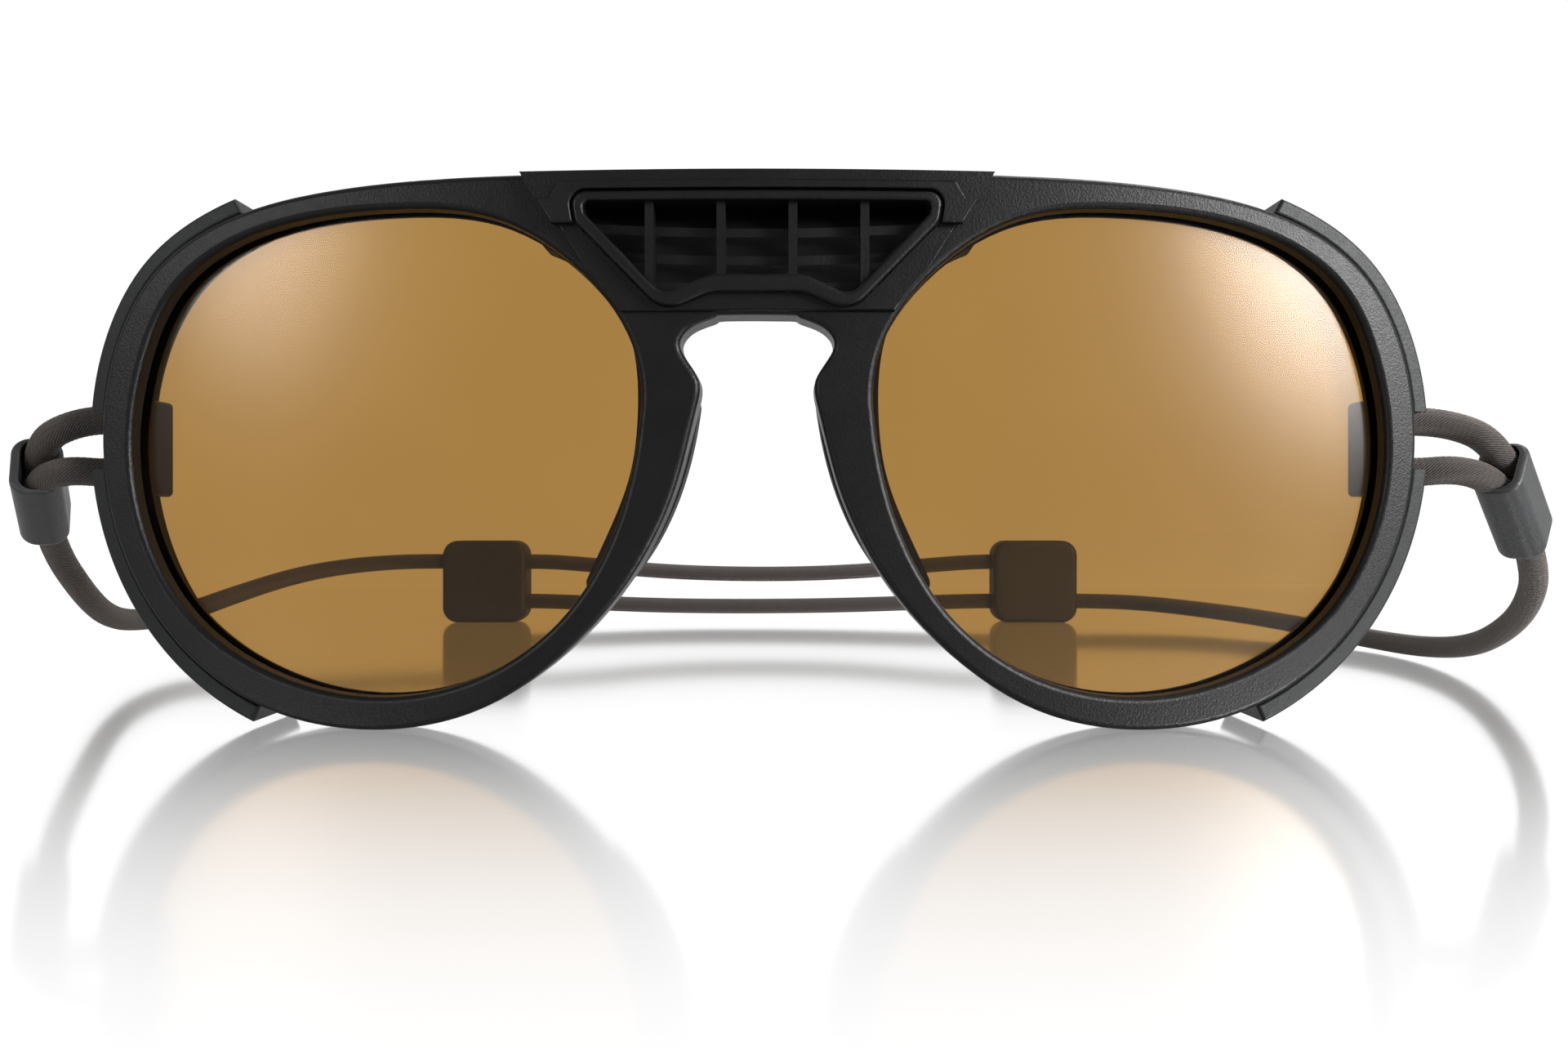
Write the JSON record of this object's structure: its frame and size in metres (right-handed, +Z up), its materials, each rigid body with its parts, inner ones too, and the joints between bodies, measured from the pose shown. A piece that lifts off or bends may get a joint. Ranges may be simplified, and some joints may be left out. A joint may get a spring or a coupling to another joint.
{
  "type": "glacier glasses",
  "caption": "Armless glacier glasses with round bronze lenses, a vented keyhole bridge, clip-on side shields and a braided cord with two sliding adjusters.",
  "frame": {"origin": "on the surface under the rims, under the middle of the front's own box (front, lenses and shields, without the cord)", "axes": "+X to the right of somebody who faces the glasses, +Y from the front towards the wearer's head, +Z up"},
  "size_m": [0.202, 0.1572, 0.0567],
  "materials": {
    "frame_nylon": "matte",
    "vent_nylon": "matte",
    "shield_rubber": "matte",
    "soft_rubber": "matte",
    "bronze_lens": "polished",
    "braided_cord": "woven",
    "adjuster_nylon": "satin",
    "ferrule_metal": "satin"
  },
  "bodies": {
    "root": {"front_frame": "frame_nylon", "lens_left": "bronze_lens", "lens_right": "bronze_lens", "brow_cover": "vent_nylon", "vent_ring": "vent_nylon", "vent_grille": "vent_nylon", "vent_louvres": "vent_nylon", "nose_pad_left": "soft_rubber", "nose_pad_right": "soft_rubber", "cord_anchor_left": "frame_nylon", "cord_anchor_right": "frame_nylon", "cord_loop_left": "braided_cord", "cord_loop_right": "braided_cord", "bead_left": "adjuster_nylon", "bead_right": "adjuster_nylon", "loop_crimp_left": "ferrule_metal", "loop_crimp_right": "ferrule_metal", "cord_left": "braided_cord", "cord_right": "braided_cord", "cord_left_tail": "braided_cord", "cord_right_tail": "braided_cord"},
    "shield_left": {"side_shield_left": "shield_rubber"},
    "shield_right": {"side_shield_right": "shield_rubber"},
    "adjuster_left": {"slider_left": "adjuster_nylon", "cord_end_stop_left": "ferrule_metal"},
    "adjuster_right": {"slider_right": "adjuster_nylon", "cord_end_stop_right": "ferrule_metal"}
  },
  "joints": [
    {"name": "shield_left_pull", "type": "slide", "parent": "root", "child": "shield_left", "axis": [0, 1, 0], "range_m": [0, 0.015], "deforming": ["cord_loop_left"]},
    {"name": "shield_right_pull", "type": "slide", "parent": "root", "child": "shield_right", "axis": [0, 1, 0], "range_m": [0, 0.015], "deforming": ["cord_loop_right"]},
    {"name": "adjuster_left_slide", "type": "slide", "parent": "root", "child": "adjuster_left", "axis": [1, 0, 0], "range_m": [0, 0.045], "deforming": ["cord_right_tail"]},
    {"name": "adjuster_right_slide", "type": "slide", "parent": "root", "child": "adjuster_right", "axis": [-1, 0, 0], "range_m": [0, 0.045], "deforming": ["cord_left_tail"]}
  ]
}
